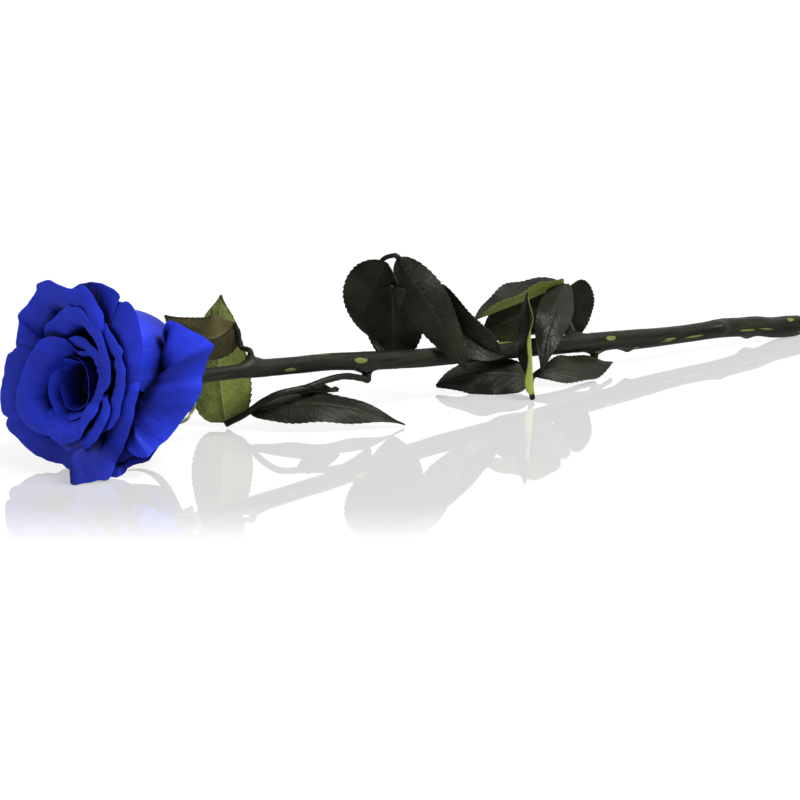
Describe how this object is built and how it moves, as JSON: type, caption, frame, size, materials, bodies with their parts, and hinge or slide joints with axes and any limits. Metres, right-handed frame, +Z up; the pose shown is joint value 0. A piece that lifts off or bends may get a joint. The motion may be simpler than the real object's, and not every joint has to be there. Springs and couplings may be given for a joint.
{
  "type": "preserved rose",
  "caption": "Long-stemmed preserved rose lying on its side, with a large blue layered bloom and dark serrated leaves on a cut woody stem.",
  "frame": {"origin": "on the surface that the rose lies on, below the centre of its bounding box", "axes": "+X along the stem from the bloom towards the cut end, +Y to the far side of the picture, +Z up"},
  "size_m": [0.379, 0.0715, 0.0675],
  "materials": {
    "petal_blue": "matte, velvety dyed petals",
    "calyx_green": "matte",
    "stem_bark": "satin dark bark",
    "leaf_green": "satin upper side, paler matte underside"
  },
  "bodies": {
    "root": {"bloom": "petal_blue", "calyx": "calyx_green", "stem": "stem_bark", "leaf_1": "leaf_green", "leaf_2": "leaf_green", "leaf_3": "leaf_green", "leaf_4": "leaf_green", "leaf_5": "leaf_green"}
  },
  "joints": []
}
